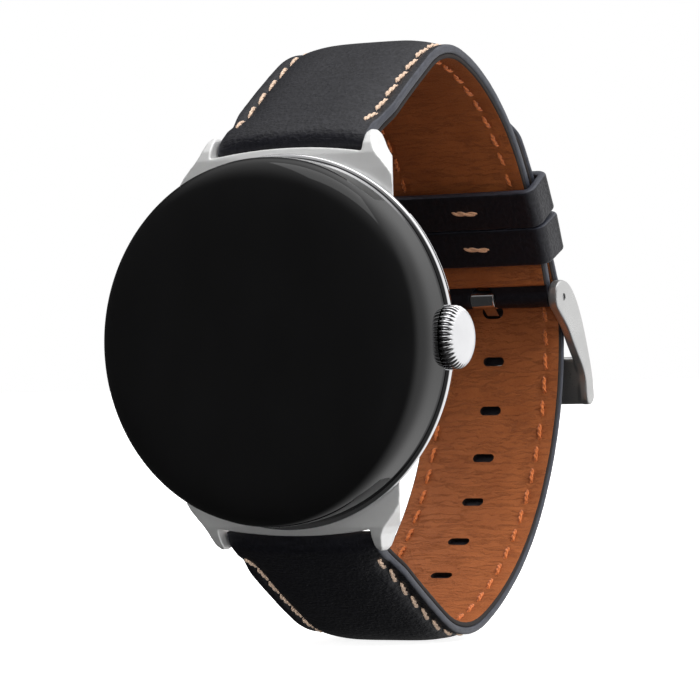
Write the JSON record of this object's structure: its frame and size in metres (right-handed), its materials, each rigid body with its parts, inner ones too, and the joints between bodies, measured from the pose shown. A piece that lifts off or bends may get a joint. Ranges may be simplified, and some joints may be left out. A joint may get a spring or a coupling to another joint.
{
  "type": "smartwatch",
  "caption": "Round smartwatch with a domed black display, crown, side button and a buckled black leather strap with tan lining.",
  "frame": {"origin": "centre of the flat back of the case, where it lies on the wrist", "axes": "+X to three o'clock and the crown, +Y from the display towards the wrist, +Z to twelve o'clock"},
  "size_m": [0.0425, 0.0681, 0.0688],
  "materials": {
    "dark_glass": "gloss black, nearly opaque",
    "seal_rubber": "matt",
    "display": "gloss, switched off",
    "sheet_metal": "satin",
    "polished_steel": "polished",
    "back_plastic": "gloss",
    "circuit_board": "solder mask",
    "copper": "enamelled copper wire",
    "inner_plastic": "moulded",
    "screw_steel": "plain",
    "battery_foil": "foil pouch",
    "chip_plastic": "moulded",
    "satin_steel": "satin, fine bead-blasted",
    "black_leather": "fine grain, semi-matt",
    "tan_leather": "smooth, creased",
    "padding_felt": "felt"
  },
  "bodies": {
    "watch": {"cover_glass": "dark_glass", "display_seal": "seal_rubber", "display_panel": "display", "display_plate": "sheet_metal", "case_body": "polished_steel", "back_cover": "back_plastic", "back_seal": "seal_rubber", "sensor_window": "dark_glass", "sensor_board": "circuit_board", "charging_coil": "copper", "inner_bracket": "inner_plastic", "bracket_screws": "screw_steel", "battery": "battery_foil", "main_board": "circuit_board", "board_chips": "chip_plastic", "haptic_motor": "sheet_metal", "speaker": "chip_plastic", "crown_tube": "screw_steel", "crown_seal": "seal_rubber", "crown_encoder": "chip_plastic", "crown_switch": "sheet_metal", "button_seal": "seal_rubber", "button_switch": "sheet_metal", "upper_adapter": "satin_steel", "lower_adapter": "satin_steel", "upper_lug_bar": "screw_steel", "lower_lug_bar": "screw_steel", "buckle_strap_leather": "black_leather", "buckle_strap_lining": "tan_leather", "buckle_strap_padding": "padding_felt", "tail_strap_leather": "black_leather", "tail_strap_lining": "tan_leather", "tail_strap_padding": "padding_felt", "fixed_keeper": "black_leather", "buckle_bar": "screw_steel"},
    "crown_push": {"crown_plunger": "inner_plastic"},
    "crown": {"crown_stem": "screw_steel", "crown_ring": "polished_steel", "crown_cap": "polished_steel", "encoder_wheel": "inner_plastic"},
    "side_button": {"side_button": "polished_steel"},
    "upper_latch": {"upper_latch": "satin_steel"},
    "lower_latch": {"lower_latch": "satin_steel"},
    "buckle_frame": {"buckle_frame": "satin_steel"},
    "tang": {"tang": "satin_steel"},
    "sliding_keeper": {"sliding_keeper": "black_leather"}
  },
  "joints": [
    {"name": "crown_press", "type": "slide", "parent": "watch", "child": "crown_push", "axis": [-1, 0, 0], "range_m": [0, 0.00025], "stiffness_N_per_m": 400},
    {"name": "crown_turn", "type": "hinge", "parent": "crown_push", "child": "crown", "pos_m": [0.02, -0.0061, 0], "axis": [1, 0, 0], "continuous": true},
    {"name": "button_press", "type": "slide", "parent": "watch", "child": "side_button", "axis": [-0.8817, 0, -0.4718], "range_m": [0, 0.0003], "stiffness_N_per_m": 300},
    {"name": "upper_latch_press", "type": "slide", "parent": "watch", "child": "upper_latch", "axis": [0, -1, 0], "range_m": [0, 0.0005], "stiffness_N_per_m": 200},
    {"name": "lower_latch_press", "type": "slide", "parent": "watch", "child": "lower_latch", "axis": [0, -1, 0], "range_m": [0, 0.0005], "stiffness_N_per_m": 200},
    {"name": "buckle_hinge", "type": "hinge", "parent": "watch", "child": "buckle_frame", "pos_m": [0, 0.0445, 0.0051], "axis": [1, 0, 0], "range_deg": [-11, 0]},
    {"name": "tang_hinge", "type": "hinge", "parent": "watch", "child": "tang", "pos_m": [0, 0.0445, 0.0051], "axis": [1, 0, 0], "range_deg": [0, 6]},
    {"name": "keeper_slide", "type": "slide", "parent": "watch", "child": "sliding_keeper", "axis": [0, -0.4945, 0.8692], "range_m": [0, 0.003]}
  ]
}
